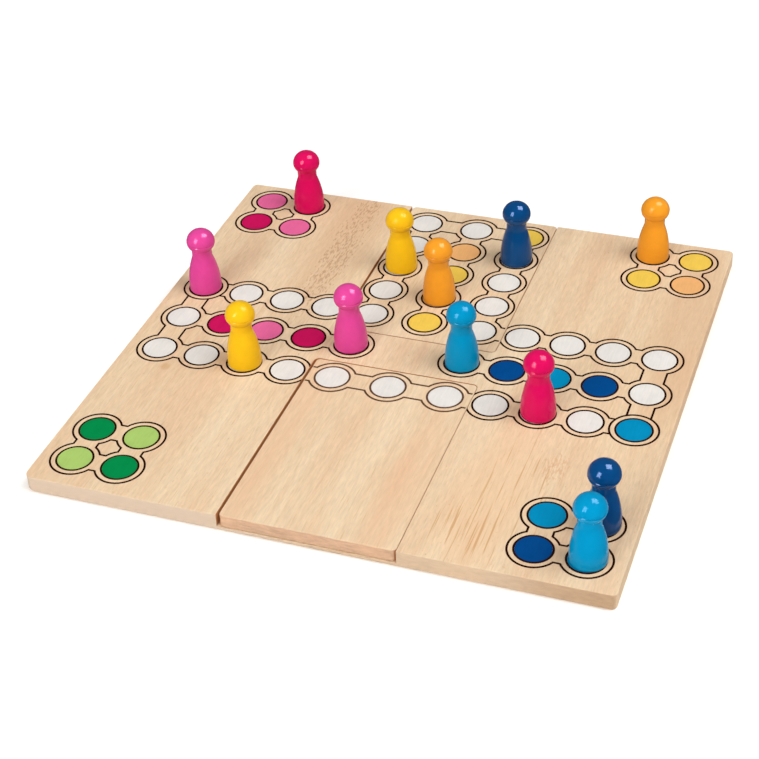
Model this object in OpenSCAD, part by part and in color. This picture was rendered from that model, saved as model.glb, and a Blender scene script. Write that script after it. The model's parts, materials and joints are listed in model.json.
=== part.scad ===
// Wooden ludo board with two loose two-sided inserts and twelve turned pawns.
// Millimetres, +Z up, origin in the middle of the board's underside, players' front edge at -Y.

/* [Board] */
// Side of the square board
board_side = 300; // [270:1:330]
// Thickness of the board
board_t = 9.5; // [8:0.5:16]
// Radius of the board's four upright corners
board_corner_r = 3; // [2:0.5:6]
// Rounding along the board's top and bottom edges
board_edge_r = 1.5; // [0.5:0.1:1.5]

/* [Recesses] */
// Wood left under each recess
floor_t = 2.5; // [1.5:0.25:4]
// Radius of the recess's two inner corners
recess_corner_r = 3; // [1:0.5:5]
// Wood between the middle row's rings and the recess on either side of it
bridge_margin = 2.5; // [1:0.25:4]

/* [Inserts] */
// Least clearance between an insert and the sides of its recess
insert_gap = 0.2; // [0.1:0.1:1]
// Least clearance between an insert's inner end and the bridge
insert_end_gap = 0.25; // [0.1:0.05:1]
// Wood between the outer rings and the insert's long edges
insert_margin = 1.25; // [0.75:0.25:3]
// Radius of the insert's upright corners
insert_corner_r = 2.5; // [2:0.25:4]
// Rounding along the insert's top and bottom edges
insert_edge_r = 0.7; // [0.3:0.1:0.9]
// How far the back insert lies to the right of the middle of its recess
back_insert_shift = 0.4; // [0:0.05:0.8]
// How far the front insert lies to the right of the middle of its recess
front_insert_shift = 0.5; // [0:0.05:0.8]
// How far the front insert is pushed in from the board's front edge
front_insert_push = 0.35; // [0:0.05:0.8]

/* [Print] */
// Bare wood from the outermost rings to the board's edge
print_margin = 6.25; // [4.5:0.25:9]
// How far the print lies behind the middle of the board
print_shift = 1.25; // [0:0.25:1.5]
// Distance between the three rows of an arm
row_pitch = 31.25; // [29:0.25:34]
// Radius of a coloured spot
spot_r = 8.8; // [8:0.1:9.5]
// Width of the dark line round a spot
spot_line = 1.1; // [0.4:0.1:1.2]
// Radius of the outline round a spot
ring_r = 12.5; // [11.5:0.1:13]
// Width of the necks that link the outline from spot to spot
neck_w = 12.5; // [8:0.5:15]
// Width of the outline
outline_w = 1.1; // [0.4:0.1:1.2]
// Thickness of the printed ink
ink_t = 0.1; // [0.05:0.05:0.3]
// Bare hairline between two inks
ink_gap = 0.04; // [0.02:0.02:0.1]

/* [Pawns] */
// Radius of the pawn at its widest, just above the foot
pawn_foot_r = 9.2; // [8:0.1:9.5]
// Rounding of the foot's lower edge
pawn_foot_round = 0.9; // [0.3:0.1:1.5]
// Height of the straight belt above the foot
pawn_belt_h = 2.5; // [1.6:0.1:4]
// Height at which the bell-shaped body has narrowed to the neck
pawn_body_h = 21.5; // [18:0.5:26]
// Radius of the neck
pawn_neck_r = 5.7; // [4.5:0.1:6.5]
// Hollow between the body and the neck
pawn_neck_hollow = 4; // [2:0.5:6]
// Length of the neck up to the head
pawn_neck_h = 3.2; // [2:0.1:5]
// Radius of the round head
pawn_head_r = 8; // [7:0.1:9]

/* [Hidden] */
$fn = 96;
wood = "#e3c49b";
wood_insert = "#e8cba4";
ink = "#3a241c";
white = "#f2ece4";
pink = "#e0609c";
magenta = "#c31f5a";
yellow = "#f3c93f";
orange = "#f0ad6c";
cyan = "#0c8fbd";
navy = "#124a8c";
light_green = "#aacb6a";
green = "#008f54";
pawn_pink = "#ea3e96";
pawn_magenta = "#d91a5a";
pawn_yellow = "#f6c20e";
pawn_orange = "#f39a1c";
pawn_cyan = "#0a90c4";
pawn_navy = "#0a3f80";

half = board_side / 2;
steps = 4;                      // spots from the crossing of two rows to an arm's end
// Distance between neighbouring spots along an arm
spot_pitch = (half - print_margin - ring_r - row_pitch) / steps;
bridge_w = 2 * (ring_r + bridge_margin);
insert_w = 2 * (row_pitch + ring_r + insert_margin);
insert_l = half - bridge_w / 2 - insert_end_gap - front_insert_push;
insert_t = board_t - floor_t - ink_t;
insert_z = floor_t + ink_t;     // the insert lies on the print of its lower face
insert_y = half - insert_l / 2;
recess_w = insert_w + 2 * (insert_gap + max(back_insert_shift, front_insert_shift));
past = 1;                       // how far a cutter runs past the face that it opens

// Pawn: the body is an arc that leaves the belt upright and reaches the neck at pawn_body_h
body_rise = pawn_body_h - pawn_belt_h;
body_draw = pawn_foot_r - pawn_neck_r;
body_arc_r = (body_draw * body_draw + body_rise * body_rise) / (2 * body_draw);
body_arc_x = pawn_foot_r - body_arc_r;
hollow_x = pawn_neck_r + pawn_neck_hollow;
body_to_hollow = body_arc_r + pawn_neck_hollow;
hollow_z = pawn_belt_h + sqrt(pow(body_to_hollow, 2) - pow(hollow_x - body_arc_x, 2));
meet_x = body_arc_x + body_arc_r * (hollow_x - body_arc_x) / body_to_hollow;
meet_z = pawn_belt_h + body_arc_r * (hollow_z - pawn_belt_h) / body_to_hollow;
head_z = pawn_body_h + pawn_neck_h + sqrt(pow(pawn_head_r, 2) - pow(pawn_neck_r, 2));

// How far some pawns stand off the middle of their spots
magenta_track_off = [0.4, 0.1];
yellow_left_off = [0.5, 0.2];
yellow_back_off = [0.8, 0.5];
orange_goal_off = [0.5, 0.3];
cyan_goal_off = [0.3, 0.1];
cyan_home_off = [0.8, 0.3];
navy_back_off = [0.1, 0.2];
navy_home_off = [1.3, 0.5];

// Spots of the print, for an arm that points along +X

// Place of the spot n steps out from the crossing of two rows
function out(n) = row_pitch + n * spot_pitch;
// An outer row on one side of the arm, from step a to the arm's end
function arm_row(side, a) = [for (n = [a : steps]) [out(n), side * row_pitch]];
// The coloured goal spots, odd or even, counted from the middle of the board
function goal_spots(first) = [for (n = [first : 2 : steps - 1]) [out(n), 0]];
// The goal row with the arm's end spot
function goal_row() = [for (n = [0 : steps]) [out(n), 0]];
// The end of the arm, across its three rows
function arm_end() = [for (side = [1, 0, -1]) [out(steps), side * row_pitch]];
// The spot on which a player starts
function start_spot() = [out(steps), -row_pitch];
// The white spots of an arm whose outer rows begin at step a
function arm_white(a) = concat(
    arm_row(1, a), [[out(steps), 0]],
    [for (n = [a : steps - 1]) [out(n), -row_pitch]]
);
// The row that closes the track where an arm is left out
function short_row() = [for (side = [1, 0, -1]) [row_pitch, side * row_pitch]];
// A corner's four home spots: those in the player's first colour, then the second
function home_first(x, y) = [for (n = [steps - 1, steps]) [x * out(n), y * out(n)]];
function home_second(x, y) = [for (n = [0, 1]) [x * out(steps - n), y * out(steps - 1 + n)]];
// The loop of a corner's four home spots
function home_loop(x, y) = [for (s = [[0, 0], [1, 0], [1, 1], [0, 1], [0, 0]])
    [x * out(steps - s[0]), y * out(steps - s[1])]];

// Flat shapes of the print

module discs(places, r) {
    for (p = places) translate(p) circle(r);
}

// A chain of rings with a neck from each to the next, grown by half a line or shrunk by it
module chain(places, grow) {
    reach = neck_w / 2 + grow;
    discs(places, ring_r + grow);
    for (i = [1 : len(places) - 1]) {
        a = places[i - 1];
        b = places[i];
        low = [min(a[0], b[0]), min(a[1], b[1])];
        span = [abs(a[0] - b[0]), abs(a[1] - b[1])];
        side = span[0] > span[1] ? [0, reach] : [reach, 0];
        translate(low - side) square(span + 2 * side);
    }
}

module arm_shape(grow) {
    chain(arm_row(1, 0), grow);
    chain(arm_row(-1, 0), grow);
    chain(goal_row(), grow);
    chain(arm_end(), grow);
}

// The whole track as it lies in play: arms to the right, back and left, a short row in front
module track_shape(grow) {
    for (turn = [0, 90, 180]) rotate(turn) arm_shape(grow);
    rotate(-90) chain(short_row(), grow);
}

module homes_shape(grow) {
    for (x = [-1, 1], y = [-1, 1]) chain(home_loop(x, y), grow);
}

module ring(r, w) {
    difference() {
        circle(r + w);
        circle(r);
    }
}

module spot_lines(places) {
    for (p = places) translate(p) ring(spot_r, spot_line);
}

// The ring round the start spot, kept clear of the spots beside it
module start_line(a) {
    difference() {
        translate(start_spot()) ring(ring_r - outline_w / 2, outline_w);
        discs(arm_white(a), spot_r);
    }
}

module arm_lines(a) {
    spot_lines(concat(arm_white(a), [start_spot()], goal_row()));
    start_line(a);
}

module track_outline() {
    difference() {
        track_shape(outline_w / 2);
        track_shape(-outline_w / 2);
    }
}

module homes_outline() {
    difference() {
        homes_shape(outline_w / 2);
        homes_shape(-outline_w / 2);
    }
}

// Plan of the board's fixed wood: both wings and the bridge between the recesses
module fixed_wood() {
    difference() {
        square(board_side, center = true);
        for (side = [-1, 1])
            translate([0, side * half]) square([recess_w, board_side - bridge_w], center = true);
    }
}

// Plan of an insert's flat face, at the back of the board
module insert_face() {
    flat = [insert_w - 2 * insert_edge_r, insert_l - 2 * insert_edge_r];
    translate([0, insert_y]) square(flat, center = true);
}

// Ink of one colour on the board's top, in the print's own place
module top_ink(paint) {
    color(paint) translate([0, print_shift, board_t]) linear_extrude(ink_t) children();
}

// Ink under an insert: the print is turned over with the insert
module lower_ink(paint) {
    color(paint) translate([0, print_shift, floor_t]) linear_extrude(ink_t) mirror([1, 0]) children();
}

// Keeps the part of a print that lies on the plan given as the second child
module printed_on() {
    intersection() {
        children(0);
        translate([0, -print_shift]) children(1);
    }
}

module colour_spots(places) {
    discs(places, spot_r - ink_gap);
}

// Solid forms

// Edge of a slab in section: reaches out along X, as thick as the slab, both outer corners rounded
module edge_section(reach, t, r) {
    square([reach - r, t]);
    translate([0, r]) square([reach, t - 2 * r]);
    for (z = [r, t - r])
        translate([reach - r, z]) intersection() {
            circle(r);
            translate([0, -r]) square([r, 2 * r]);
        }
}

// Slab with round upright corners and rounded edges, centred in plan and standing on Z = 0
module slab(w, l, t, corner_r, edge_r) {
    x = w / 2 - corner_r;
    y = l / 2 - corner_r;
    translate([-x, -y, 0]) cube([2 * x, 2 * y, t]);
    for (turn = [0 : 90 : 270]) {
        across = turn % 180 == 0 ? x : y;
        along = turn % 180 == 0 ? y : x;
        rotate(turn) translate([across, along, 0]) {
            rotate_extrude(angle = 90) edge_section(corner_r, t, edge_r);
            rotate([90, 0, 0]) linear_extrude(2 * along) edge_section(corner_r, t, edge_r);
        }
    }
}

// Recess at the back of the board, open at the back edge and on top
module recess() {
    inner = bridge_w / 2;
    l = half - inner + past;
    translate([0, inner, floor_t]) linear_extrude(board_t - floor_t + past) {
        translate([-recess_w / 2, recess_corner_r]) square([recess_w, l - recess_corner_r]);
        translate([recess_corner_r - recess_w / 2, 0]) square([recess_w - 2 * recess_corner_r, l]);
        for (side = [-1, 1])
            translate([side * (recess_w / 2 - recess_corner_r), recess_corner_r]) circle(recess_corner_r);
    }
}

module insert(paint) {
    color(paint) translate([0, insert_y, insert_z])
        slab(insert_w, insert_l, insert_t, insert_corner_r, insert_edge_r);
}

module pawn_section() {
    square([pawn_foot_r - pawn_foot_round, pawn_belt_h]);
    translate([0, pawn_foot_round]) square([pawn_foot_r, pawn_belt_h - pawn_foot_round]);
    intersection() {
        translate([pawn_foot_r - pawn_foot_round, pawn_foot_round]) circle(pawn_foot_round);
        square([pawn_foot_r, pawn_belt_h]);
    }
    intersection() {
        translate([body_arc_x, pawn_belt_h]) circle(body_arc_r, $fn = 720);
        translate([0, pawn_foot_round]) square([pawn_foot_r, hollow_z - pawn_foot_round]);
    }
    difference() {
        translate([0, meet_z]) square([meet_x, hollow_z - meet_z]);
        translate([hollow_x, hollow_z]) circle(pawn_neck_hollow);
    }
    translate([0, meet_z]) square([pawn_neck_r, head_z - meet_z]);
    intersection() {
        translate([0, head_z]) circle(pawn_head_r);
        translate([0, head_z - pawn_head_r]) square([pawn_head_r, 2 * pawn_head_r]);
    }
}

// A pawn on a spot of the print
module pawn(spot, paint) {
    color(paint) translate([spot[0], spot[1] + print_shift, board_t + ink_t])
        rotate_extrude() pawn_section();
}

// Sub-parts: the board and its print

module base_board() {
    color(wood) difference() {
        slab(board_side, board_side, board_t, board_corner_r, board_edge_r);
        for (turn = [0, 180]) rotate(turn) recess();
    }
}

module outline_print() {
    top_ink(ink) {
        printed_on() {
            track_outline();
            fixed_wood();
        }
        homes_outline();
        for (turn = [0, 180]) rotate(turn) arm_lines(1);
        for (x = [-1, 1], y = [-1, 1]) spot_lines(concat(home_first(x, y), home_second(x, y)));
    }
}

module white_spots() {
    top_ink(white) for (turn = [0, 180]) rotate(turn) colour_spots(arm_white(1));
}

module pink_spots() {
    top_ink(pink) {
        rotate(180) colour_spots(concat([start_spot()], goal_spots(0)));
        colour_spots(home_first(-1, 1));
    }
}

module magenta_spots() {
    top_ink(magenta) {
        rotate(180) colour_spots(goal_spots(1));
        colour_spots(home_second(-1, 1));
    }
}

module yellow_spots() {
    top_ink(yellow) colour_spots(home_first(1, 1));
}

module orange_spots() {
    top_ink(orange) colour_spots(home_second(1, 1));
}

module cyan_spots() {
    top_ink(cyan) {
        colour_spots(concat([start_spot()], goal_spots(0)));
        colour_spots(home_first(1, -1));
    }
}

module navy_spots() {
    top_ink(navy) {
        colour_spots(goal_spots(1));
        colour_spots(home_second(1, -1));
    }
}

module light_green_spots() {
    top_ink(light_green) colour_spots(home_first(-1, -1));
}

module green_spots() {
    top_ink(green) colour_spots(home_second(-1, -1));
}

// Sub-parts: the back insert, arm upward

module at_back() {
    translate([back_insert_shift, 0, 0]) children();
}

module back_insert() {
    at_back() insert(wood_insert);
}

module back_outline_print() {
    at_back() top_ink(ink) {
        printed_on() {
            track_outline();
            insert_face();
        }
        rotate(90) arm_lines(0);
    }
}

module back_white_spots() {
    at_back() top_ink(white) rotate(90) colour_spots(arm_white(0));
}

module back_yellow_spots() {
    at_back() top_ink(yellow) rotate(90) colour_spots(concat([start_spot()], goal_spots(0)));
}

module back_orange_spots() {
    at_back() top_ink(orange) rotate(90) colour_spots(goal_spots(1));
}

// Short row on the face that lies downward, for play without this arm
module back_lower_outline_print() {
    at_back() lower_ink(ink) {
        printed_on() {
            rotate(180) track_outline();
            insert_face();
        }
        rotate(90) spot_lines(short_row());
    }
}

module back_lower_white_spots() {
    at_back() lower_ink(white) rotate(90) colour_spots(short_row());
}

// Sub-parts: the front insert, short row upward

module at_front() {
    translate([front_insert_shift, front_insert_push, 0]) children();
}

module front_insert() {
    at_front() rotate(180) insert(wood_insert);
}

module front_outline_print() {
    at_front() top_ink(ink) {
        printed_on() {
            track_outline();
            rotate(180) insert_face();
        }
        rotate(-90) spot_lines(short_row());
    }
}

module front_white_spots() {
    at_front() top_ink(white) rotate(-90) colour_spots(short_row());
}

// Fourth player's arm on the face that lies downward
module front_lower_outline_print() {
    at_front() lower_ink(ink) {
        printed_on() {
            rotate(180) track_outline();
            rotate(180) insert_face();
        }
        rotate(-90) arm_lines(0);
    }
}

module front_lower_white_spots() {
    at_front() lower_ink(white) rotate(-90) colour_spots(arm_white(0));
}

module front_lower_light_green_spots() {
    at_front() lower_ink(light_green) rotate(-90) colour_spots(concat([start_spot()], goal_spots(0)));
}

module front_lower_green_spots() {
    at_front() lower_ink(green) rotate(-90) colour_spots(goal_spots(1));
}

// Sub-parts: the pawns, each on the spot where it stands in play

module pink_pawn_start() {
    pawn([-out(4), row_pitch], pawn_pink);
}

module pink_pawn_goal() {
    pawn([-out(0), 0], pawn_pink);
}

module magenta_pawn_home() {
    pawn([-out(3), out(4)], pawn_magenta);
}

module magenta_pawn_track() {
    pawn([out(2), -row_pitch] + magenta_track_off, pawn_magenta);
}

module yellow_pawn_left() {
    pawn([-out(2), -row_pitch] + yellow_left_off, pawn_yellow);
}

module yellow_pawn_back() {
    at_back() pawn([-row_pitch, out(2)] + yellow_back_off, pawn_yellow);
}

module orange_pawn_goal() {
    at_back() pawn([0, out(1)] + orange_goal_off, pawn_orange);
}

module orange_pawn_home() {
    pawn([out(3), out(4)], pawn_orange);
}

module cyan_pawn_goal() {
    pawn([out(0), 0] + cyan_goal_off, pawn_cyan);
}

module cyan_pawn_home() {
    pawn([out(4), -out(4)] + cyan_home_off, pawn_cyan);
}

module navy_pawn_back() {
    at_back() pawn([row_pitch, out(3)] + navy_back_off, pawn_navy);
}

module navy_pawn_home() {
    pawn([out(4), -out(3)] + navy_home_off, pawn_navy);
}

base_board();
outline_print();
white_spots();
pink_spots();
magenta_spots();
yellow_spots();
orange_spots();
cyan_spots();
navy_spots();
light_green_spots();
green_spots();
back_insert();
back_outline_print();
back_white_spots();
back_yellow_spots();
back_orange_spots();
back_lower_outline_print();
back_lower_white_spots();
front_insert();
front_outline_print();
front_white_spots();
front_lower_outline_print();
front_lower_white_spots();
front_lower_light_green_spots();
front_lower_green_spots();
pink_pawn_start();
pink_pawn_goal();
magenta_pawn_home();
magenta_pawn_track();
yellow_pawn_left();
yellow_pawn_back();
orange_pawn_goal();
orange_pawn_home();
cyan_pawn_goal();
cyan_pawn_home();
navy_pawn_back();
navy_pawn_home();
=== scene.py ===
import json
from math import acos, cos, pi, radians, sin, sqrt

import bmesh
import bpy
from mathutils import Matrix, Vector


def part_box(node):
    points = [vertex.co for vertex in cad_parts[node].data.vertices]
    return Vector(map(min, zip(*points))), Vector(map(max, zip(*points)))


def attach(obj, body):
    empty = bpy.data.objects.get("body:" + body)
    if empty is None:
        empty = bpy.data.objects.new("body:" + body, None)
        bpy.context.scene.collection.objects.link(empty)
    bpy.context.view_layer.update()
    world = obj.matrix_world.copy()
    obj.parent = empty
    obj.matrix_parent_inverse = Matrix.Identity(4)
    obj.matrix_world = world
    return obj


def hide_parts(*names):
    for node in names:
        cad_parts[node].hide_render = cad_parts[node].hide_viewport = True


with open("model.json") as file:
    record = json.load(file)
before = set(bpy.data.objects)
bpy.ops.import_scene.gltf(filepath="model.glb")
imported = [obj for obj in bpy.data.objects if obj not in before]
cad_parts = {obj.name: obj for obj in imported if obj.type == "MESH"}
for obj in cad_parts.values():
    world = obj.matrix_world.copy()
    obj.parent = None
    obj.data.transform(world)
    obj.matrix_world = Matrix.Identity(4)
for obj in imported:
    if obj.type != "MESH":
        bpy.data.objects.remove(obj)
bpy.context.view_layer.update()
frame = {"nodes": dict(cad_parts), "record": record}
nodes = frame["nodes"]
mm = 0.001
print("frame loaded:", len(nodes), "nodes")


# One function for every shader node: settings are node properties, sockets are values, links or nodes, and a node
# links its first output
def addNode(tree, kind, settings=None, sockets=None):
    node = tree.nodes.new(kind)
    for key, value in (settings or {}).items():
        if key == "stops":
            ramp = node.color_ramp.elements
            while len(ramp) < len(value):
                ramp.new(1)
            for element, (place, colour) in zip(ramp, value):
                element.position = place
                element.color = colour
        else:
            setattr(node, key, value)
    for key, value in (sockets or {}).items():
        if isinstance(value, bpy.types.Node):
            value = value.outputs[0]
        if isinstance(value, bpy.types.NodeSocket):
            tree.links.new(value, node.inputs[key])
        else:
            node.inputs[key].default_value = value
    return node


# Sockets of a Map Range node from one row: from low, from high, to low, to high
def span(row):
    return dict(enumerate(row, 1))


# sRGB hex to the linear colour that shaders want
def linear(hexColour):
    parts = [int(hexColour[i:i + 2], 16) / 255 for i in (1, 3, 5)]
    return [c / 12.92 if c <= 0.04045 else ((c + 0.055) / 1.055) ** 2.4 for c in parts] + [1]


def newMaterial(name):
    material = bpy.data.materials.new(name)
    material.use_nodes = True
    material.node_tree.nodes.clear()
    return material, material.node_tree


# Camera, solved from the printed spots of the photograph
shot = {
    "place": (0.2553, -0.7043, 0.5429),
    "heading": 21.02,  # degrees to the right of the board's front
    "drop": 36.24,     # degrees below the horizon
    "roll": 2.98,
    "focal": 1712.5,   # in pixels of the frame
    "centre": (379.7, 380),
    "frameWidth": 759,
    "clipStart": 0.01,
}


def makeCamera():
    data = bpy.data.cameras.new("camera")
    data.sensor_fit = "HORIZONTAL"
    data.lens = shot["focal"] * data.sensor_width / shot["frameWidth"]
    data.shift_x = 0.5 - shot["centre"][0] / shot["frameWidth"]
    data.shift_y = shot["centre"][1] / shot["frameWidth"] - 0.5
    data.clip_start = shot["clipStart"]
    heading, drop, roll = (radians(shot[key]) for key in ("heading", "drop", "roll"))
    forward = Vector((-sin(heading) * cos(drop), cos(heading) * cos(drop), -sin(drop)))
    level = Vector((cos(heading), sin(heading), 0))
    upright = level.cross(forward)
    right = cos(roll) * level - sin(roll) * upright
    up = sin(roll) * level + cos(roll) * upright
    camera = bpy.data.objects.new("camera", data)
    camera.matrix_world = Matrix.Translation(shot["place"]) @ Matrix((right, up, -forward)).transposed().to_4x4()
    bpy.context.scene.collection.objects.link(camera)
    bpy.context.scene.camera = camera


# Studio: white floor, one soft box high on the right, one tall soft box low at the front left, and a wide silk
# overhead that lightens the shadows. What the lacquer mirrors are the boxes' bright middles, the left one barred.
studio = {
    "floorSize": 24,           # metres
    "floorDrop": 0.0002,       # keeps the floor off the board's underside
    "paperTones": {0.3: "#f5f4f2", 0.7: "#f9f8f7"},
    "paperMottle": 6,          # clouds in a metre
    "paperRoughness": 0.9,
    "paperPaintedGlow": (0.12, 1),    # painted glow: the paper gives off light of its own, faintly near the board and fully far away
    "paintedGlowReach": (0.25, 1.6),  # metres from the board's middle
    "worldColour": "#ffffff",
    "worldStrength": 0.13,
    "away": 2.5,               # metres from the board to every lamp
    "softBoxes": {
        "keyBox": {"towards": (0.545, 0.0, 0.84), "size": (1.5, 1.5), "radiance": 4.25},
        "fillBox": {"towards": (-0.29, -0.88, 0.364), "size": (1.1, 2.2), "radiance": 3.9},
        "silk": {"towards": (0.0, -0.33, 0.94), "size": (3.6, 3.6), "radiance": 0.76},
    },
    "mirrored": {
        "keyMiddle": {"towards": (0.383, 0.206, 0.899), "size": (1.4, 1.4), "radiance": 13},
        "fillLeft": {"towards": (-0.455, -0.748, 0.482), "size": (0.5, 1.6), "radiance": 12},
        "fillRight": {"towards": (-0.268, -0.828, 0.493), "size": (0.5, 1.6), "radiance": 12},
    },
}


def makeStudio():
    scene = bpy.context.scene
    scene.view_settings.view_transform = "Standard"
    world = bpy.data.worlds.new("studio")
    world.use_nodes = True
    world.node_tree.nodes.clear()
    sky = addNode(world.node_tree, "ShaderNodeBackground", None,
                  {"Color": linear(studio["worldColour"]), "Strength": studio["worldStrength"]})
    addNode(world.node_tree, "ShaderNodeOutputWorld", None, {"Surface": sky})
    scene.world = world
    for name, box in {**studio["softBoxes"], **studio["mirrored"]}.items():
        light = bpy.data.lights.new(name, "AREA")
        light.shape = "RECTANGLE"
        light.size, light.size_y = box["size"]
        light.energy = 4 * box["radiance"] * light.size * light.size_y  # watts for that radiance
        lamp = bpy.data.objects.new(name, light)
        towards = Vector(box["towards"]).normalized()
        lamp.matrix_world = (Matrix.Translation(towards * studio["away"])
                             @ towards.to_track_quat("Z", "Y").to_matrix().to_4x4())
        lamp.visible_camera = False
        lamp.visible_diffuse = name in studio["softBoxes"]
        lamp.visible_glossy = name in studio["mirrored"]
        scene.collection.objects.link(lamp)
    bm = bmesh.new()
    bmesh.ops.create_grid(bm, x_segments=1, y_segments=1, size=studio["floorSize"] / 2)
    bmesh.ops.translate(bm, verts=bm.verts, vec=(0, 0, -studio["floorDrop"]))
    mesh = bpy.data.meshes.new("floor")
    bm.to_mesh(mesh)
    bm.free()
    floor = bpy.data.objects.new("floor", mesh)
    floor.visible_glossy = False  # the lacquer mirrors the board, not the bright paper round it
    scene.collection.objects.link(floor)
    paper, tree = newMaterial("seamlessPaper")  # matt studio paper, faintly mottled
    coords = addNode(tree, "ShaderNodeTexCoord")
    mottle = addNode(tree, "ShaderNodeTexNoise", None, {
        "Vector": coords.outputs["Object"], "Scale": studio["paperMottle"], "Detail": 2})
    tone = addNode(tree, "ShaderNodeValToRGB", {
        "stops": [(at, linear(colour)) for at, colour in studio["paperTones"].items()]}, {"Fac": mottle})
    away = addNode(tree, "ShaderNodeVectorMath", {"operation": "LENGTH"}, {0: coords.outputs["Object"]})
    # painted glow: emission that brightens the paper, faint close to the board and full far from it
    paintedGlow = addNode(tree, "ShaderNodeMapRange", {"interpolation_type": "SMOOTHSTEP"}, {
        "Value": away.outputs["Value"], **span(studio["paintedGlowReach"] + studio["paperPaintedGlow"])})
    skin = addNode(tree, "ShaderNodeBsdfPrincipled", None, {
        "Base Color": tone, "Roughness": studio["paperRoughness"], "Emission Color": linear(studio["worldColour"]),
        "Emission Strength": paintedGlow})
    addNode(tree, "ShaderNodeOutputMaterial", None, {"Surface": skin})
    mesh.materials.append(paper)


makeCamera()
makeStudio()
print("camera and studio made")


# Rubberwood, sanded and sealed with a thin satin lacquer: pale straw with soft peach bands along the grain, short
# fibres, thin brown vessel lines, duller where the end grain shows. Grain runs along Y.
rubberwood = {
    "pale": "#e5ceae",
    "middle": "#dec2a0",
    "peach": "#dab694",
    "vessel": "#bd9568",
    "toneStops": {"peach": 0.32, "middle": 0.5, "pale": 0.68},
    "streakShare": 0.45,   # of the tone, the rest comes from the bands
    # layers of noise: mm across the grain, how much longer along it, octaves, their roughness
    "bands": (20, 9, 2, 0.5),
    "streaks": (4, 18, 3, 0.6),
    "fibres": (1.1, 6, 2, 0.6),
    "hairs": (0.4, 24, 1, 0.5),
    "vessels": (0.7, 20, 1, 0.5),
    "pores": (1.6, 4, 3, 0.7),
    # rows for span()
    "fibreShade": (0.3, 0.7, 0.93, 1.06),
    "hairShade": (0.3, 0.7, 0.97, 1.03),
    "poreShade": (0.3, 0.7, 0.76, 1.2),
    "vesselShow": (0.63, 0.76, 0, 0.35),
    "endFacing": (0.4, 0.9, 0, 0.85),   # end grain, by how far a face looks along the grain
    "wallFacing": (0.3, 0.8, 0.9, 0),   # painted shade on the walls, by how far a face looks up or down
    "wallReach": (1, 1.002, 1, 0),
    "patchEdge": (0, 0.6, 0, 1),
    "gloss": (0.3, 0.7, 0.42, 0.54),    # roughness, by the streaks
    "fleckLift": 0.2,      # more flecks in the middle of a patch
    "fleckEdge": 0.1,
    "specular": 0.05,
    "pile": 0.02,          # mm of relief
    "reliefStrength": 0.4,
}
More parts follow.
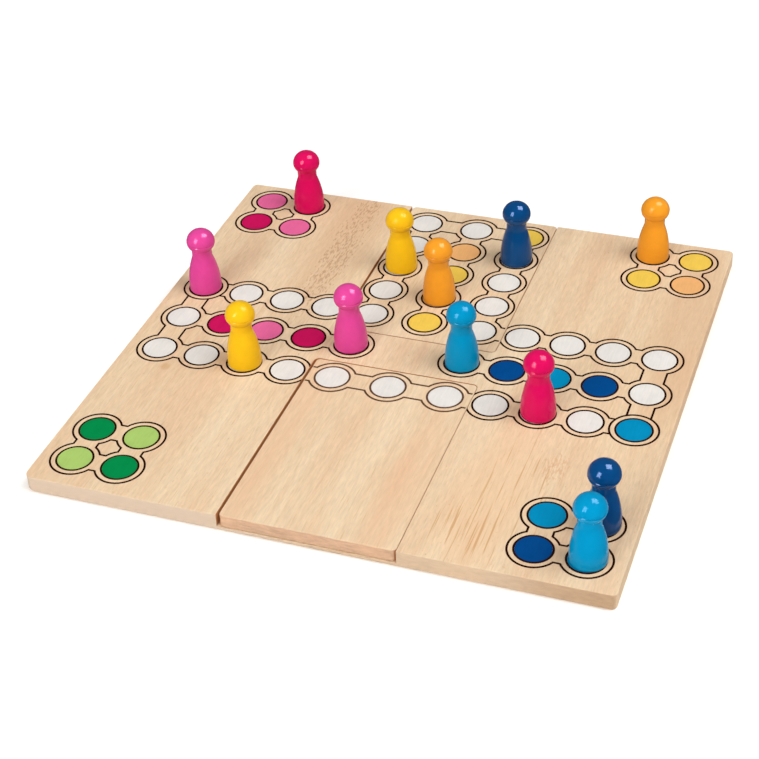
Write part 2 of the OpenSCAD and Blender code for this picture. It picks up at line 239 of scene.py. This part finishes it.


# The last argument says how far the walls reach that get painted shade, darker as the narrow gaps between the panels
# look, and the colour of that shade
def rubberwoodMaterial(name, shift, endGrain, patches, shadeOfWalls):
    material, tree = newMaterial(name)
    coords = addNode(tree, "ShaderNodeTexCoord")
    place = coords.outputs["Object"]
    facing = addNode(tree, "ShaderNodeSeparateXYZ", None, {0: coords.outputs["Normal"]}).outputs

    def grain(width, stretch, detail=2, roughness=0.5, along=1):  # noise as wide as width mm, drawn out along one axis
        scale = [1 / mm] * 3
        scale[along] /= stretch
        spread = addNode(tree, "ShaderNodeMapping", None, {"Vector": place, "Location": shift, "Scale": scale})
        return addNode(tree, "ShaderNodeTexNoise", None, {
            "Vector": spread, "Scale": 1 / width, "Detail": detail, "Roughness": roughness}).outputs["Fac"]

    # clear wood
    bands, streaks, fibres, hairs, vessels = (
        grain(*rubberwood[layer]) for layer in ("bands", "streaks", "fibres", "hairs", "vessels"))
    blend = addNode(tree, "ShaderNodeMix", {"data_type": "FLOAT"}, {0: rubberwood["streakShare"], 2: bands, 3: streaks})
    tone = addNode(tree, "ShaderNodeValToRGB", {
        "stops": [(at, linear(rubberwood[tint])) for tint, at in rubberwood["toneStops"].items()]}, {"Fac": blend})
    fibreShade = addNode(tree, "ShaderNodeMapRange", None, {"Value": fibres, **span(rubberwood["fibreShade"])})
    hairShade = addNode(tree, "ShaderNodeMapRange", None, {"Value": hairs, **span(rubberwood["hairShade"])})
    shade = addNode(tree, "ShaderNodeMath", {"operation": "MULTIPLY"}, {0: fibreShade, 1: hairShade})
    colour = addNode(tree, "ShaderNodeVectorMath", {"operation": "SCALE"}, {0: tone, "Scale": shade})

    # stains over it, in order: vessels, end grain, patches, then the painted shade of the walls
    vesselMask = addNode(tree, "ShaderNodeMapRange", None, {"Value": vessels, **span(rubberwood["vesselShow"])})
    endwise = addNode(tree, "ShaderNodeMath", {"operation": "ABSOLUTE"}, {0: facing["Y"]})
    endOn = addNode(tree, "ShaderNodeMapRange", None, {"Value": endwise, **span(rubberwood["endFacing"])})
    pores = addNode(tree, "ShaderNodeMapRange", None, {
        "Value": grain(*rubberwood["pores"], along=0), **span(rubberwood["poreShade"])})
    across = addNode(tree, "ShaderNodeVectorMath", {"operation": "SCALE"}, {0: linear(endGrain)[:3], "Scale": pores})
    stainsAndShade = [(vesselMask, linear(rubberwood["vessel"])), (endOn, across)]
    for patch in patches:
        spot = addNode(tree, "ShaderNodeMapping", {"vector_type": "TEXTURE"}, {
            "Vector": place, "Location": [v * mm for v in patch["centre"]], "Scale": [v * mm for v in patch["reach"]]})
        ball = addNode(tree, "ShaderNodeTexGradient", {"gradient_type": "SPHERICAL"}, {"Vector": spot})
        mask = addNode(tree, "ShaderNodeMapRange", {"interpolation_type": "SMOOTHSTEP"}, {
            "Value": ball.outputs["Fac"], **span(rubberwood["patchEdge"])})
        if "fleck" in patch:  # dense in the middle of the patch, sparse at its rim
            flecks = addNode(tree, "ShaderNodeMath", {"operation": "MULTIPLY_ADD"}, {
                0: mask, 1: rubberwood["fleckLift"], 2: grain(patch["fleck"], patch["stretch"])})
            start = rubberwood["fleckLift"] + patch["from"]
            mask = addNode(tree, "ShaderNodeMapRange", None, {
                "Value": flecks, **span((start, start + rubberwood["fleckEdge"], 0, 1))})
        elif "end" in patch:
            mask = addNode(tree, "ShaderNodeMath", {"operation": "MULTIPLY"}, {0: mask, 1: endOn})
        mask = addNode(tree, "ShaderNodeMath", {"operation": "MULTIPLY"}, {0: mask, 1: patch["strength"]})
        stainsAndShade.append((mask, linear(patch["colour"])))
    # painted shade: steep walls inside the reach take a darker brown, as the narrow gaps between the panels look
    inside = addNode(tree, "ShaderNodeVectorMath", {"operation": "DIVIDE"},
                     {0: place, 1: [v * mm for v in shadeOfWalls["reach"]]})
    inside = addNode(tree, "ShaderNodeVectorMath", {"operation": "ABSOLUTE"}, {0: inside})
    inside = addNode(tree, "ShaderNodeSeparateXYZ", None, {0: inside}).outputs
    out = addNode(tree, "ShaderNodeMath", {"operation": "MAXIMUM"}, {0: inside["X"], 1: inside["Y"]})
    within = addNode(tree, "ShaderNodeMapRange", None, {"Value": out, **span(rubberwood["wallReach"])})
    upward = addNode(tree, "ShaderNodeMath", {"operation": "ABSOLUTE"}, {0: facing["Z"]})
    steep = addNode(tree, "ShaderNodeMapRange", None, {"Value": upward, **span(rubberwood["wallFacing"])})
    wallShadeMask = addNode(tree, "ShaderNodeMath", {"operation": "MULTIPLY"}, {0: within, 1: steep})
    stainsAndShade.append((wallShadeMask, linear(shadeOfWalls["colour"])))
    for mask, tint in stainsAndShade:  # a Mix node's colours are inputs 6 and 7 and output 2
        colour = addNode(tree, "ShaderNodeMix", {"data_type": "RGBA"}, {0: mask, 6: colour, 7: tint}).outputs[2]

    relief = addNode(tree, "ShaderNodeMath", {"operation": "SUBTRACT"}, {0: fibres, 1: vesselMask})
    bump = addNode(tree, "ShaderNodeBump", None, {
        "Strength": rubberwood["reliefStrength"], "Distance": rubberwood["pile"] * mm, "Height": relief})
    gloss = addNode(tree, "ShaderNodeMapRange", None, {"Value": streaks, **span(rubberwood["gloss"])})
    skin = addNode(tree, "ShaderNodeBsdfPrincipled", None, {
        "Base Color": colour, "Roughness": gloss, "Specular IOR Level": rubberwood["specular"], "Normal": bump})
    addNode(tree, "ShaderNodeOutputMaterial", None, {"Surface": skin})
    return material


# Merging and shading, the same for every piece
finish = {
    "mergeGap": 0.001 * mm,
    "sharpAngle": 40,  # degrees, past which an edge stays sharp
}


def finishPiece(bm, name, body, material):
    bmesh.ops.remove_doubles(bm, verts=bm.verts, dist=finish["mergeGap"])
    bmesh.ops.recalc_face_normals(bm, faces=bm.faces)
    for face in bm.faces:
        face.smooth = True
    mesh = bpy.data.meshes.new(name)
    bm.to_mesh(mesh)
    bm.free()
    mesh.set_sharp_from_angle(angle=radians(finish["sharpAngle"]))
    mesh.materials.append(material)
    piece = bpy.data.objects.new(name, mesh)
    bpy.context.scene.collection.objects.link(piece)
    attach(piece, body)
    return piece


# Flat faces stay flat next to their rounded edges
def weighNormals(piece):
    weigh = piece.modifiers.new("flatFaces", "WEIGHTED_NORMAL")
    weigh.keep_sharp = True


def roundEdges(bm, edges, radius, segments):
    bmesh.ops.bevel(bm, geom=edges, offset=radius, offset_type="OFFSET", segments=segments, profile=0.5,
                    affect="EDGES", material=-1, clamp_overlap=True)


# Base board: two wings and a bridge in one, a recess routed in from the front and one from the back
baseBoard = {
    "cornerRadius": 3 * mm,
    "wornCorner": 5 * mm,   # the front left one is rounder
    "cornerSteps": 8,
    "edgeRadius": 1.5 * mm,
    "topRadius": 0.6 * mm,  # the upper edge is less worn
    "edgeSteps": 5,
    "recessWidth": 91.4 * mm,
    "recessFloor": 2.5 * mm,
    "recessCorner": 3 * mm,
    "recessSteps": 6,
    "bridgeWidth": 30 * mm,
    "arris": 0.2 * mm,      # broken edge left by the sandpaper
    "arrisSteps": 2,
    "crispAngle": 60,       # degrees, past which an edge is broken
    "near": 0.01 * mm,      # tells one edge from another
    "shift": (310, 40, 20),  # moves the grain, so that no two pieces match
    "endGrain": "#b79a7c",
    "routedWallShade": {"reach": (46, 149, 100), "colour": "#c07a45"},  # mm from the board's middle; painted shade on the walls of the recesses
    # figure of this board, in mm: brown band and its flecks at the back left, darker right edge, small knot, peach
    # field and its streaks at the front right, healed knot, then the tones of the front end from left to right
    "patches": [
        {"centre": (-73, 95, 8), "reach": (24, 120, 60), "colour": "#cfa884", "strength": 0.4},
        {"centre": (-70, 95, 8), "reach": (14, 110, 60), "colour": "#a06846", "strength": 0.42,
         "fleck": 0.9, "stretch": 4, "from": 0.49},
        {"centre": (140, 60, 8), "reach": (26, 120, 60), "colour": "#cfa782", "strength": 0.45},
        {"centre": (-121, -45, 8), "reach": (4, 4, 60), "colour": "#c89a6a", "strength": 0.5},
        {"centre": (77, -100, 8), "reach": (26, 75, 60), "colour": "#e3bb93", "strength": 0.4},
        {"centre": (82, -105, 8), "reach": (42, 85, 60), "colour": "#c08a50", "strength": 0.6,
         "fleck": 1.1, "stretch": 40, "from": 0.57},
        {"centre": (101, -70, 8), "reach": (9, 16, 60), "colour": "#cb9468", "strength": 0.4,
         "fleck": 0.9, "stretch": 3, "from": 0.46},
        {"centre": (-100, -150, 5), "reach": (140, 90, 90), "colour": "#c8b4a0", "strength": 0.9, "end": True},
        {"centre": (75, -150, 5), "reach": (70, 90, 90), "colour": "#c8b198", "strength": 0.6, "end": True},
        {"centre": (150, -150, 5), "reach": (60, 90, 90), "colour": "#a68668", "strength": 0.6, "end": True},
    ],
}


def makeBaseBoard():
    low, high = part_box("base_board")
    near, reach = baseBoard["near"], high.x - baseBoard["wornCorner"]
    bm = bmesh.new()
    bmesh.ops.create_grid(bm, x_segments=3, y_segments=3, size=1)
    for vert in bm.verts:  # the grid's outer lines, at 1, go to the edges, its inner ones to the recess walls
        inner = (baseBoard["recessWidth"] / 2, baseBoard["bridgeWidth"] / 2)
        for axis in (0, 1):
            far = high[axis] if abs(vert.co[axis]) > 0.5 else inner[axis]
            vert.co[axis] = far if vert.co[axis] > 0 else -far
    plate = bmesh.ops.extrude_face_region(bm, geom=bm.faces[:])["geom"]
    bmesh.ops.translate(bm, verts=[v for v in plate if isinstance(v, bmesh.types.BMVert)],
                        vec=(0, 0, baseBoard["recessFloor"]))
    solid = []
    for face in [f for f in plate if isinstance(f, bmesh.types.BMFace)]:
        middle = face.calc_center_median()
        if abs(middle.x) > baseBoard["recessWidth"] / 2 or abs(middle.y) < baseBoard["bridgeWidth"] / 2:
            solid.append(face)
    upper = bmesh.ops.extrude_face_region(bm, geom=solid)["geom"]
    bmesh.ops.translate(bm, verts=[v for v in upper if isinstance(v, bmesh.types.BMVert)],
                        vec=(0, 0, high.z - baseBoard["recessFloor"]))
    bmesh.ops.delete(bm, geom=solid, context="FACES")  # they now lie inside the wood
    bmesh.ops.recalc_face_normals(bm, faces=bm.faces)

    def upright(edge):
        a, b = (v.co for v in edge.verts)
        return (a.xy - b.xy).length < near

    def outer(edge):
        return all(max(abs(v.co.x), abs(v.co.y)) > reach - near for v in edge.verts)

    def atCorner(edge):
        return all(abs(v.co.x) > reach and abs(v.co.y) > reach for v in edge.verts)

    def level(edge, z):
        return all(abs(v.co.z - z) < near for v in edge.verts)

    def worn(edge):
        return all(v.co.x < 0 and v.co.y < 0 for v in edge.verts)

    for isWorn, radius in ((True, baseBoard["wornCorner"]), (False, baseBoard["cornerRadius"])):
        corners = [e for e in bm.edges if upright(e) and atCorner(e) and worn(e) == isWorn]
        roundEdges(bm, corners, radius, baseBoard["cornerSteps"])
    inside = [e for e in bm.edges if upright(e) and not outer(e) and not level(e, 0)
              and max(v.co.z for v in e.verts) > high.z - near]
    roundEdges(bm, inside, baseBoard["recessCorner"], baseBoard["recessSteps"])
    for z, radius in ((low.z, baseBoard["edgeRadius"]), (high.z, baseBoard["topRadius"])):
        roundEdges(bm, [e for e in bm.edges if outer(e) and level(e, z)], radius, baseBoard["edgeSteps"])
    crisp = [e for e in bm.edges if e.is_manifold and e.calc_face_angle_signed() > radians(baseBoard["crispAngle"])]
    roundEdges(bm, crisp, baseBoard["arris"], baseBoard["arrisSteps"])
    wood = rubberwoodMaterial("rubberwoodBoard", baseBoard["shift"], baseBoard["endGrain"], baseBoard["patches"],
                              baseBoard["routedWallShade"])
    piece = finishPiece(bm, "baseBoard", "board", wood)
    weighNormals(piece)
    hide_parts("base_board")


# Inserts: loose panels, all edges eased, printed on both faces
insert = {
    "cornerRadius": 2.5 * mm,
    "cornerSteps": 6,
    "edgeRadius": 0.7 * mm,
    "edgeSteps": 4,
    "endGrain": "#ba9479",
    "sawnWallShade": {"reach": (100, 149, 100), "colour": "#a56d45"},  # painted shade on all walls but the end that is flush with the board's
    "panels": {
        "backInsert": {"node": "back_insert", "shift": (90, 130, 70), "patches": []},
        "frontInsert": {"node": "front_insert", "shift": (520, 330, 110), "patches": [
            {"centre": (-41, -85, 8), "reach": (14, 110, 60), "colour": "#deb08a", "strength": 0.35},
            {"centre": (34, -105, 8), "reach": (14, 80, 60), "colour": "#deb28c", "strength": 0.3},
        ]},
    },
}


def makeInsert(name, panel):
    low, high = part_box(panel["node"])
    bm = bmesh.new()
    bmesh.ops.create_cube(bm, size=1)
    bmesh.ops.scale(bm, verts=bm.verts, vec=high - low)
    bmesh.ops.translate(bm, verts=bm.verts, vec=(high + low) / 2)
    sides = [e for e in bm.edges if abs(e.verts[0].co.z - e.verts[1].co.z) > insert["edgeRadius"]]
    roundEdges(bm, sides, insert["cornerRadius"], insert["cornerSteps"])
    rim = [e for e in bm.edges if abs(e.verts[0].co.z - e.verts[1].co.z) < insert["edgeRadius"]]
    roundEdges(bm, rim, insert["edgeRadius"], insert["edgeSteps"])
    wood = rubberwoodMaterial("rubberwood_" + name, panel["shift"], insert["endGrain"], panel["patches"],
                              insert["sawnWallShade"])
    piece = finishPiece(bm, name, panel["node"], wood)
    weighNormals(piece)
    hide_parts(panel["node"])


makeBaseBoard()
for name, panel in insert["panels"].items():
    makeInsert(name, panel)
print("board and inserts made")


# Screen-printed ink: opaque and near matt, thin enough that the grain below still shapes its surface
printInk = {
    "colours": {
        "ink_dark": "#2a0d05",
        "ink_white": "#ddd8d2",
        "ink_pink": "#dd6596",
        "ink_magenta": "#c01456",
        "ink_yellow": "#e4bf51",
        "ink_orange": "#e4ab6f",
        "ink_cyan": "#0386b3",
        "ink_navy": "#034584",
        "ink_light_green": "#a3c168",
        "ink_green": "#048345",
    },
    "rubbed": {"front_outline_print": "#5e402f"},  # this panel's outline is worn paler
    "cloudSize": 7,      # mm
    "fibreWidth": 0.7,   # mm
    "fibreStretch": 12.5,
    "cover": (0.3, 0.7, 0.96, 1.03),  # row for span(): of the colour, by clouds and by fibres
    "dull": (0.3, 0.7, 0.45, 0.58),   # row for span(): roughness
    "specular": 0.01,
    "pile": 0.02,        # mm of relief
    "reliefStrength": 0.4,
}


def inkMaterial(name, hexColour):
    material, tree = newMaterial(name)
    coords = addNode(tree, "ShaderNodeTexCoord")
    cloud = addNode(tree, "ShaderNodeTexNoise", None, {
        "Vector": coords.outputs["Object"], "Scale": 1 / (printInk["cloudSize"] * mm), "Detail": 2}).outputs["Fac"]
    along = addNode(tree, "ShaderNodeMapping", None, {
        "Vector": coords.outputs["Object"], "Scale": (1 / mm, 1 / (printInk["fibreStretch"] * mm), 1 / mm)})
    fibres = addNode(tree, "ShaderNodeTexNoise", None, {
        "Vector": along, "Scale": 1 / printInk["fibreWidth"], "Detail": 2}).outputs["Fac"]
    cover = addNode(tree, "ShaderNodeMapRange", None, {"Value": cloud, **span(printInk["cover"])})
    thin = addNode(tree, "ShaderNodeMapRange", None, {"Value": fibres, **span(printInk["cover"])})
    both = addNode(tree, "ShaderNodeMath", {"operation": "MULTIPLY"}, {0: cover, 1: thin})
    colour = addNode(tree, "ShaderNodeVectorMath", {"operation": "SCALE"}, {0: linear(hexColour)[:3], "Scale": both})
    dull = addNode(tree, "ShaderNodeMapRange", None, {"Value": cloud, **span(printInk["dull"])})
    bump = addNode(tree, "ShaderNodeBump", None, {
        "Strength": printInk["reliefStrength"], "Distance": printInk["pile"] * mm, "Height": fibres})
    skin = addNode(tree, "ShaderNodeBsdfPrincipled", None, {
        "Base Color": colour, "Roughness": dull, "Specular IOR Level": printInk["specular"], "Normal": bump})
    addNode(tree, "ShaderNodeOutputMaterial", None, {"Surface": skin})
    return material


def printBoard():
    inks = {slot: inkMaterial(slot.replace("ink_", "screenInk_"), colour)
            for slot, colour in printInk["colours"].items()}
    for row in frame["record"]["subparts"]:
        if row["material_slot"] in inks:
            nodes[row["node"]].material_slots[0].material = inks[row["material_slot"]]
    for node, colour in printInk["rubbed"].items():
        nodes[node].material_slots[0].material = inkMaterial("screenInk_rubbed", colour)


printBoard()
print("print inked")


# Pawns: beech turned to one profile and dipped in glossy lacquer, which gives an even, deep colour with small sharp
# lights, a faint orange peel and the lathe's rings just showing through
pawn = {
    "footRadius": 9.2 * mm,
    "footRound": 0.9 * mm,
    "beltHeight": 2.5 * mm,
    "bodyHeight": 21.5 * mm,
    "neckRadius": 5.7 * mm,
    "neckHollow": 4 * mm,
    "neckHeight": 3.2 * mm,
    "headRadius": 8 * mm,
    "headRaise": 0.5 * mm,      # the head's widest line lies above the middle of a plain ball
    "headUnder": 6.6 * mm,      # and its underside is flatter than the ball
    "underSteps": 8,
    "domeSteps": 18,
    "seamWidth": 0.8 * mm,      # fine line where the cuts of the lathe tool meet
    "seamDepth": 0.4 * mm,
    "lacquerFillet": 0.7 * mm,  # lacquer pools in the angle below the head
    "footSteps": 5,
    "bodySteps": 12,
    "hollowSteps": 4,
    "filletSteps": 3,
    "turnSteps": 72,
    "mergeGap": 0.005 * mm,
    "near": 0.001 * mm,         # finds the angle below the head
    "lacquers": {
        "pink": {"colour": "#d74492", "shine": 0.42},
        "magenta": {"colour": "#d20d58", "shine": 0.3},
        "yellow": {"colour": "#edb91a", "shine": 0.16},
        "orange": {"colour": "#e99728", "shine": 0.24},
        "cyan": {"colour": "#028ab9", "shine": 0.2},
        "navy": {"colour": "#044176", "shine": 0.42},
    },
    "peelSize": 3,                    # mm, lacquer's orange peel
    "ringPitch": 1.1,                 # mm, marks of the lathe under the lacquer
    "waveLength": 0.314,              # of a wave texture whose scale is 1
    "ringShare": 0.25,                # of the relief, the rest is orange peel
    "depth": (0.3, 0.7, 0.98, 1.02),  # row for span(): of the colour
    "gloss": (0.3, 0.7, 0.07, 0.11),  # row for span(): roughness
    "pile": 0.01,                     # mm of relief
    "reliefStrength": 0.1,
    "whiteShare": 0.42,               # of what it mirrors, the rest takes the lacquer's colour
}


def lacquerMaterial(name, hexColour, shine):
    material, tree = newMaterial(name)
    coords = addNode(tree, "ShaderNodeTexCoord")
    peel = addNode(tree, "ShaderNodeTexNoise", None, {
        "Vector": coords.outputs["Object"], "Scale": 1 / (pawn["peelSize"] * mm), "Detail": 2}).outputs["Fac"]
    rings = addNode(tree, "ShaderNodeTexWave", {"wave_type": "BANDS", "bands_direction": "Z"}, {
        "Vector": coords.outputs["Object"], "Scale": pawn["waveLength"] / (pawn["ringPitch"] * mm), "Distortion": 1,
        "Detail": 1}).outputs["Fac"]
    pure, white = linear(hexColour)[:3], pawn["whiteShare"]
    depth = addNode(tree, "ShaderNodeMapRange", None, {"Value": peel, **span(pawn["depth"])})
    colour = addNode(tree, "ShaderNodeVectorMath", {"operation": "SCALE"}, {0: pure, "Scale": depth})
    gloss = addNode(tree, "ShaderNodeMapRange", None, {"Value": peel, **span(pawn["gloss"])})
    relief = addNode(tree, "ShaderNodeMix", {"data_type": "FLOAT"}, {0: pawn["ringShare"], 2: peel, 3: rings})
    bump = addNode(tree, "ShaderNodeBump", None, {
        "Strength": pawn["reliefStrength"], "Distance": pawn["pile"] * mm, "Height": relief})
    tint = [white + (1 - white) * c / max(pure) for c in pure] + [1]
    skin = addNode(tree, "ShaderNodeBsdfPrincipled", None, {
        "Base Color": colour, "Roughness": gloss, "Specular IOR Level": shine, "Specular Tint": tint, "Normal": bump})
    addNode(tree, "ShaderNodeOutputMaterial", None, {"Surface": skin})
    return material


def makePawn(name, lacquer):
    low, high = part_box(name)
    bm = bmesh.new()

    def goTo(vert, x, z):
        new = bmesh.ops.extrude_vert_indiv(bm, verts=[vert])["verts"][0]
        new.co = (x, 0, z)
        return new

    def sweep(vert, x, z, angle, steps):  # an arc of the outline, turned about (x, z)
        ends = bmesh.ops.spin(bm, geom=[vert], cent=(x, 0, z), axis=(0, -1, 0), angle=angle, steps=steps)["geom_last"]
        return [v for v in ends if isinstance(v, bmesh.types.BMVert)][0]

    footRadius, footRound, belt = pawn["footRadius"], pawn["footRound"], pawn["beltHeight"]
    neckRadius, hollow, headRadius = pawn["neckRadius"], pawn["neckHollow"], pawn["headRadius"]
    draw, rise = footRadius - neckRadius, pawn["bodyHeight"] - belt
    arc = (draw ** 2 + rise ** 2) / (2 * draw)
    arcX, hollowX = footRadius - arc, neckRadius + hollow
    lean = acos((hollowX - arcX) / (arc + hollow))
    hollowZ = belt + (arc + hollow) * sin(lean)
    ballMiddle = pawn["bodyHeight"] + pawn["neckHeight"] + sqrt(headRadius ** 2 - neckRadius ** 2)
    headMiddle = ballMiddle + pawn["headRaise"]
    domeRise = headRadius - pawn["headRaise"]
    tuck = acos(neckRadius / headRadius)
    neckTop = headMiddle - pawn["headUnder"] * sin(tuck)

    point = bm.verts.new((0, 0, 0))
    point = goTo(point, footRadius - footRound, 0)
    point = sweep(point, footRadius - footRound, footRound, pi / 2, pawn["footSteps"])
    point = goTo(point, footRadius, belt)
    point = sweep(point, arcX, belt, lean, pawn["bodySteps"])
    point = sweep(point, hollowX, hollowZ, -lean, pawn["hollowSteps"])
    seamTurn = pawn["seamWidth"] / pawn["headUnder"]
    for step in range(pawn["underSteps"] + 1):
        turn = tuck + (seamTurn - tuck) * step / pawn["underSteps"]
        point = goTo(point, headRadius * cos(turn), headMiddle - pawn["headUnder"] * sin(turn))
    point = goTo(point, headRadius - pawn["seamDepth"], headMiddle - pawn["seamWidth"] / 2)
    point = goTo(point, headRadius, headMiddle)
    for step in range(1, pawn["domeSteps"] + 1):
        turn = pi / 2 * step / pawn["domeSteps"]
        point = goTo(point, headRadius * cos(turn), headMiddle + domeRise * sin(turn))
    bmesh.ops.spin(bm, geom=bm.verts[:] + bm.edges[:], cent=(0, 0, 0), axis=(0, 0, 1), angle=2 * pi,
                   steps=pawn["turnSteps"], use_merge=True)
    bmesh.ops.remove_doubles(bm, verts=bm.verts, dist=pawn["mergeGap"])
    bmesh.ops.recalc_face_normals(bm, faces=bm.faces)
    angle = [e for e in bm.edges if all(abs(v.co.z - neckTop) < pawn["near"] for v in e.verts)]
    roundEdges(bm, angle, pawn["lacquerFillet"], pawn["filletSteps"])
    bmesh.ops.translate(bm, verts=bm.verts, vec=((low.x + high.x) / 2, (low.y + high.y) / 2, low.z))
    piece = finishPiece(bm, name.replace("_pawn_", "Pawn_"), name, lacquer)
    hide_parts(name)


def makePawns():
    lacquers = {name: lacquerMaterial("lacquer_" + name, coat["colour"], coat["shine"])
                for name, coat in pawn["lacquers"].items()}
    for row in frame["record"]["subparts"]:
        if "_pawn_" in row["node"]:
            makePawn(row["node"], lacquers[row["node"].split("_")[0]])


makePawns()
print("pawns turned and lacquered")
